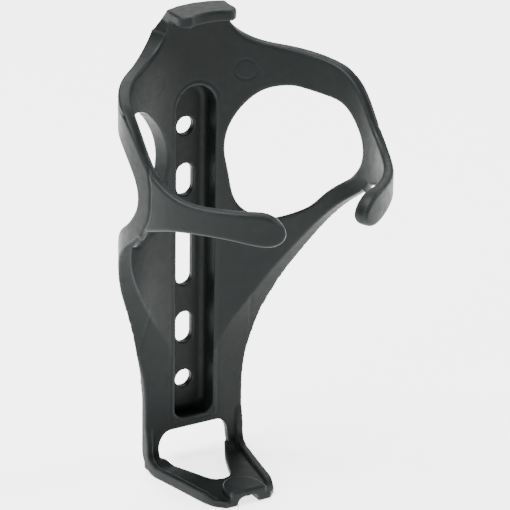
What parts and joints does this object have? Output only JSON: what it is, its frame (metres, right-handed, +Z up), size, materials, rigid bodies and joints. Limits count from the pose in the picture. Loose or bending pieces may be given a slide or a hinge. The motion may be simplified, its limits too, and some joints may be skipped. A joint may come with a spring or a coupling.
{
  "type": "water bottle cage",
  "caption": "Moulded side-wing bottle cage: slotted mounting channel, two sprung wings with curled fingers, top hook and forked base shelf.",
  "frame": {"origin": "centre of the bolt pattern on the flat back of the mounting channel, the face that sits on the bicycle frame", "axes": "+Z up along the bottle, +Y out of the back towards the bicycle frame, +X across; the bottle axis is parallel to Z at y = -43.9 mm and the open side faces -Y"},
  "size_m": [0.0768, 0.0805, 0.1442],
  "materials": {
    "nylon": "matte charcoal, fine moulded grain"
  },
  "bodies": {
    "frame_side": {"back_panel": "nylon", "lower_panel": "nylon", "mounting_channel": "nylon", "top_hook": "nylon", "left_base_leg": "nylon", "right_base_leg": "nylon", "base_stop": "nylon"},
    "left_wing": {"left_upper_arm": "nylon", "left_lower_strut": "nylon", "left_wing_corner": "nylon", "left_finger": "nylon", "left_fingertip": "nylon"},
    "right_wing": {"right_upper_arm": "nylon", "right_lower_strut": "nylon", "right_wing_corner": "nylon", "right_finger": "nylon", "right_fingertip": "nylon"}
  },
  "joints": [
    {"name": "right_wing_flex", "type": "hinge", "parent": "frame_side", "child": "right_wing", "pos_m": [0.02042, -0.00549, 0], "axis": [0, 0, 1], "range_deg": [0, 4], "stiffness_Nm_per_rad": 3},
    {"name": "left_wing_flex", "type": "hinge", "parent": "frame_side", "child": "left_wing", "pos_m": [-0.02042, -0.00549, 0], "axis": [0, 0, -1], "range_deg": [0, 4], "stiffness_Nm_per_rad": 3}
  ]
}
